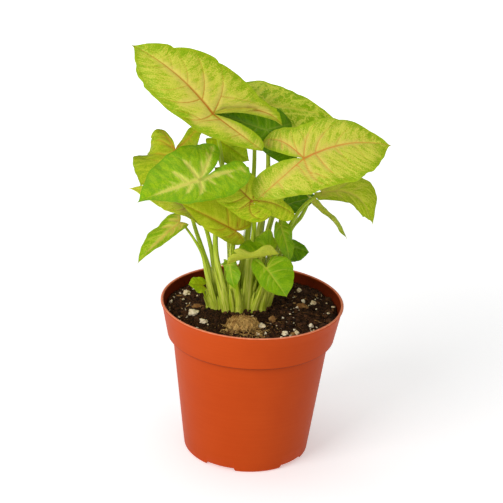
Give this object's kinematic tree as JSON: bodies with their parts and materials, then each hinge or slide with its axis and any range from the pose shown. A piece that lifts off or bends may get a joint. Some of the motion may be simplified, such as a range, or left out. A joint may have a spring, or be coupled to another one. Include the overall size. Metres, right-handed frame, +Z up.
{
  "type": "potted syngonium",
  "caption": "Young arrowhead plant with lime and olive heart-shaped leaves on slim stalks, in a round tapered nursery pot with a rim band, feet and drain holes.",
  "frame": {"origin": "on the pot's axis, on the plane that its feet stand on", "axes": "+Z up along the pot's axis, -Y is the front, +X to the right seen from the front"},
  "size_m": [0.1435, 0.104, 0.2366],
  "materials": {
    "terracotta": "terracotta-coloured moulded plastic, satin, with faint turning lines",
    "soil": "dark brown crumbly peat with fibres and grit",
    "coir": "tan coir fibres, pressed",
    "perlite": "off-white porous grit",
    "bark": "tan bark chip with grain",
    "stem": "yellow-green, smooth and slightly glossy, with fine lengthwise lines",
    "lime": "cream-lime leaf with green mottling, a thin green edge and orange-pink veins",
    "green": "fresh green leaf with a cream halo along the veins, satin",
    "olive": "olive green leaf with pinkish midrib, satin",
    "shade": "darker green leaf, glossy"
  },
  "bodies": {
    "root": {"pot": "terracotta", "soil": "soil", "crown": "stem", "coir_plug": "coir", "perlite_left_large": "perlite", "perlite_left_front": "perlite", "perlite_left_back": "perlite", "perlite_front": "perlite", "perlite_front_right": "perlite", "perlite_right": "perlite", "perlite_right_back": "perlite", "bark_left": "bark", "bark_right": "bark", "bark_front_right": "bark", "leaf_top_left": "lime", "leaf_top_back": "lime", "leaf_top_shaded": "shade", "leaf_right_large": "lime", "leaf_left_green": "green", "leaf_left_ruffled": "olive", "leaf_left_lower": "olive", "leaf_middle_left": "olive", "leaf_left_drooping": "green", "leaf_middle": "lime", "leaf_back_right": "shade", "leaf_right_hanging": "olive", "leaf_right_narrow": "olive", "leaf_low_right_dark": "shade", "leaf_low_right": "green", "leaf_low_curled": "green", "leaf_young_front": "green", "leaf_young_left": "green", "leaf_inner_left": "shade", "leaf_young_right": "green", "stalk_top_left": "stem", "stalk_top_back": "stem", "stalk_top_shaded": "stem", "stalk_right_large": "stem", "stalk_left_green": "stem", "stalk_left_ruffled": "stem", "stalk_left_lower": "stem", "stalk_middle_left": "stem", "stalk_left_drooping": "stem", "stalk_middle": "stem", "stalk_back_right": "stem", "stalk_right_hanging": "stem", "stalk_right_narrow": "stem", "stalk_low_right_dark": "stem", "stalk_low_right": "stem", "stalk_low_curled": "stem", "stalk_young_front": "stem", "stalk_young_left": "stem", "stalk_inner_left": "stem", "stalk_young_right": "stem"}
  },
  "joints": []
}
